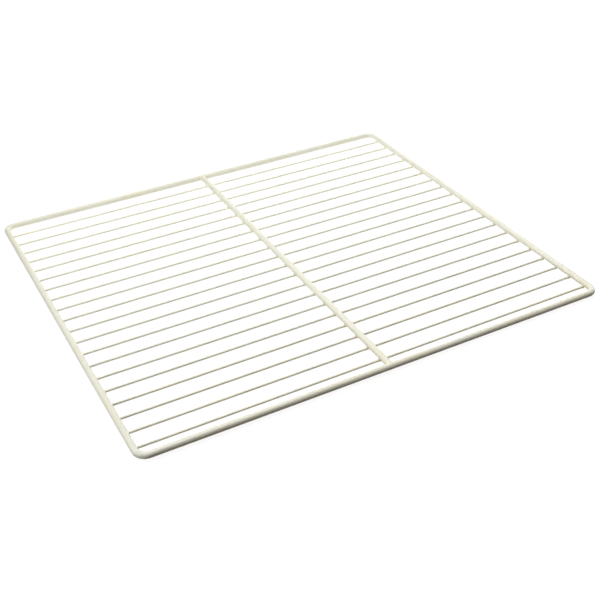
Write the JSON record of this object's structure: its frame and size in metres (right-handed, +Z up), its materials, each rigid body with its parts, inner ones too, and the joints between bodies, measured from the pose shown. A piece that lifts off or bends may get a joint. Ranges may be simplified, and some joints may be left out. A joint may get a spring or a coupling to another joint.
{
  "type": "fridge wire rack",
  "caption": "Flat rectangular wire rack: a closed frame of thick round rod with rounded corners, a centre bar and thin parallel cross wires welded below, all in white plastic coating.",
  "frame": {"origin": "centre of the rack's outline, on the surface that the pressed flats under its welds rest on", "axes": "+X along the cross wires, +Y from the front rod to the back rod, +Z up"},
  "size_m": [0.6, 0.53, 0.0105],
  "materials": {
    "rod_coating": "glossy white plastic dip coating, slightly creamy",
    "wire_coating": "glossy white plastic dip coating, slightly creamy"
  },
  "bodies": {
    "root": {"frame": "rod_coating", "centre_bar": "rod_coating", "wire_01": "wire_coating", "wire_02": "wire_coating", "wire_03": "wire_coating", "wire_04": "wire_coating", "wire_05": "wire_coating", "wire_06": "wire_coating", "wire_07": "wire_coating", "wire_08": "wire_coating", "wire_09": "wire_coating", "wire_10": "wire_coating", "wire_11": "wire_coating", "wire_12": "wire_coating", "wire_13": "wire_coating", "wire_14": "wire_coating", "wire_15": "wire_coating", "wire_16": "wire_coating", "wire_17": "wire_coating", "wire_18": "wire_coating", "wire_19": "wire_coating", "wire_20": "wire_coating"}
  },
  "joints": []
}
